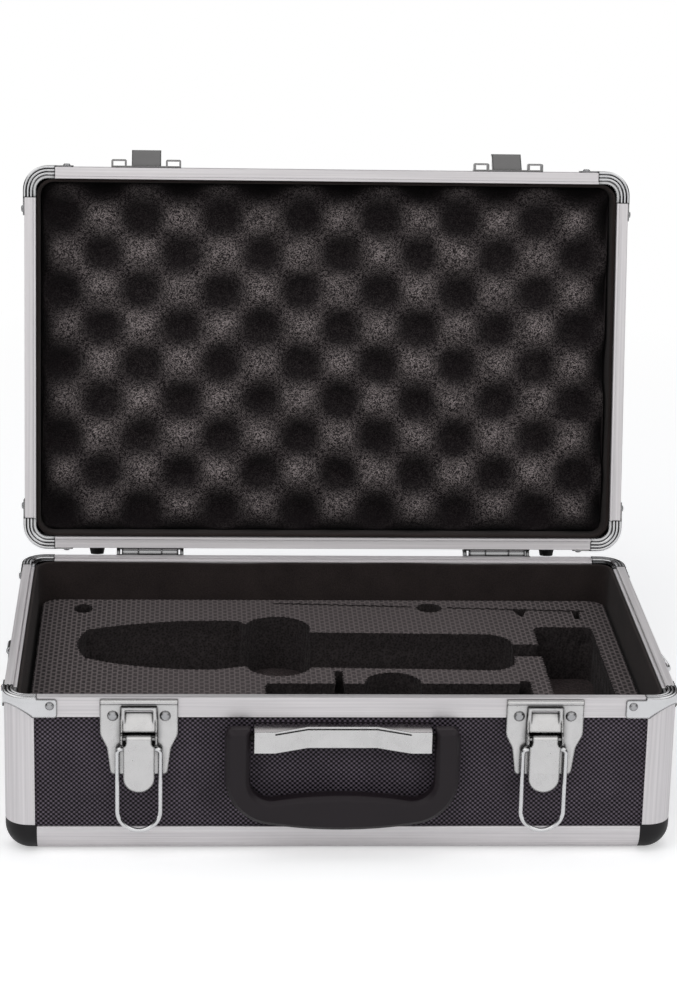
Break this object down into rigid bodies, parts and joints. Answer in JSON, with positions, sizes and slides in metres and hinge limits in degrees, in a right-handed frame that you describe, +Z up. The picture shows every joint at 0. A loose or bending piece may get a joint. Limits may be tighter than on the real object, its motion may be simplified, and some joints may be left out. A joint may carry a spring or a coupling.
{
  "type": "tool case",
  "caption": "Hinged tool case with panels in an aluminium frame, draw latches, a carrying handle, cut foam in the base and egg-crate foam in the lid.",
  "frame": {"origin": "middle of the underside of the base, on the plane it stands on", "axes": "+X to the right seen from the front, +Y from the latches to the hinges, +Z up; the lid is open"},
  "size_m": [0.3576, 0.3056, 0.3063],
  "materials": {
    "anodised_aluminium": "satin anodised",
    "chrome_plate": "polished plating",
    "nickel_plate": "bright nickel plating on steel",
    "zinc_steel": "zinc plated",
    "panel_black": "embossed with a fine diagonal dot lattice",
    "corner_black": "smooth moulded",
    "lining_grey": "thin board with a dull facing",
    "foam_grey": "soft open-cell foam with an embossed top",
    "foam_black": "soft open-cell egg-crate foam",
    "handle_black": "moulded, semi-matt",
    "rubber_black": "moulded"
  },
  "bodies": {
    "base": {"base_floor_panel": "panel_black", "base_front_panel": "panel_black", "base_rear_panel": "panel_black", "base_left_panel": "panel_black", "base_right_panel": "panel_black", "base_rim_rail_front": "anodised_aluminium", "base_rim_rail_rear": "anodised_aluminium", "base_rim_rails_side": "anodised_aluminium", "base_edge_rails": "anodised_aluminium", "base_corner_posts": "anodised_aluminium", "base_rim_corners": "chrome_plate", "base_ball_corners": "corner_black", "base_corner_rivets": "nickel_plate", "base_lining": "lining_grey", "foam_base_layer": "foam_grey", "foam_cut_layer": "foam_grey", "base_rear_feet": "rubber_black", "hinge_leaves_base": "zinc_steel", "hinge_pins": "zinc_steel", "hinge_rivets_base": "zinc_steel", "latch_plate_left": "nickel_plate", "latch_plate_right": "nickel_plate", "latch_pins": "zinc_steel", "latch_rivets": "nickel_plate", "handle_bracket": "nickel_plate", "handle_pins": "zinc_steel", "ring_plates": "nickel_plate", "ring_rivets": "nickel_plate"},
    "lid": {"lid_top_panel": "panel_black", "lid_front_panel": "panel_black", "lid_rear_panel": "panel_black", "lid_side_panels": "panel_black", "lid_rim_rail_front": "anodised_aluminium", "lid_rim_rail_rear": "anodised_aluminium", "lid_rim_rails_side": "anodised_aluminium", "lid_edge_rails": "anodised_aluminium", "lid_corner_posts": "anodised_aluminium", "lid_rim_corners": "chrome_plate", "lid_ball_corners": "corner_black", "lid_corner_rivets": "nickel_plate", "lid_lining": "lining_grey", "lid_convoluted_foam": "foam_black", "lid_rear_feet": "rubber_black", "hinge_leaves_lid": "zinc_steel", "hinge_rivets_lid": "zinc_steel", "lid_keeper_left": "nickel_plate", "lid_keeper_right": "nickel_plate", "lid_keeper_rivets": "nickel_plate"},
    "latch_lever_left": {"latch_lever_left": "nickel_plate"},
    "latch_lever_right": {"latch_lever_right": "nickel_plate"},
    "latch_bail_left": {"latch_bail_left": "chrome_plate"},
    "latch_bail_right": {"latch_bail_right": "chrome_plate"},
    "handle": {"handle_grip": "handle_black"},
    "side_ring_left": {"side_ring_left": "chrome_plate"},
    "side_ring_right": {"side_ring_right": "chrome_plate"}
  },
  "joints": [
    {"name": "lid_hinge", "type": "hinge", "parent": "base", "child": "lid", "pos_m": [0, 0.1101, 0.0864], "axis": [1, 0, 0], "range_deg": [0, 101]},
    {"name": "latch_lever_left_pivot", "type": "hinge", "parent": "base", "child": "latch_lever_left", "pos_m": [-0.102, -0.1121, 0.0655], "axis": [-1, 0, 0], "range_deg": [0, 140]},
    {"name": "latch_lever_right_pivot", "type": "hinge", "parent": "base", "child": "latch_lever_right", "pos_m": [0.102, -0.1121, 0.0655], "axis": [-1, 0, 0], "range_deg": [0, 140]},
    {"name": "latch_bail_left_pivot", "type": "hinge", "parent": "latch_lever_left", "child": "latch_bail_left", "pos_m": [-0.102, -0.1121, 0.06], "axis": [1, 0, 0], "range_deg": [-180, 0]},
    {"name": "latch_bail_right_pivot", "type": "hinge", "parent": "latch_lever_right", "child": "latch_bail_right", "pos_m": [0.102, -0.1121, 0.06], "axis": [1, 0, 0], "range_deg": [-180, 0]},
    {"name": "handle_swing", "type": "hinge", "parent": "base", "child": "handle", "pos_m": [0, -0.1145, 0.0676], "axis": [-1, 0, 0], "range_deg": [0, 180]},
    {"name": "side_ring_left_swing", "type": "hinge", "parent": "base", "child": "side_ring_left", "pos_m": [-0.1717, 0, 0.071], "axis": [0, 1, 0], "range_deg": [0, 120]},
    {"name": "side_ring_right_swing", "type": "hinge", "parent": "base", "child": "side_ring_right", "pos_m": [0.1717, 0, 0.071], "axis": [0, -1, 0], "range_deg": [-45, 75]}
  ]
}
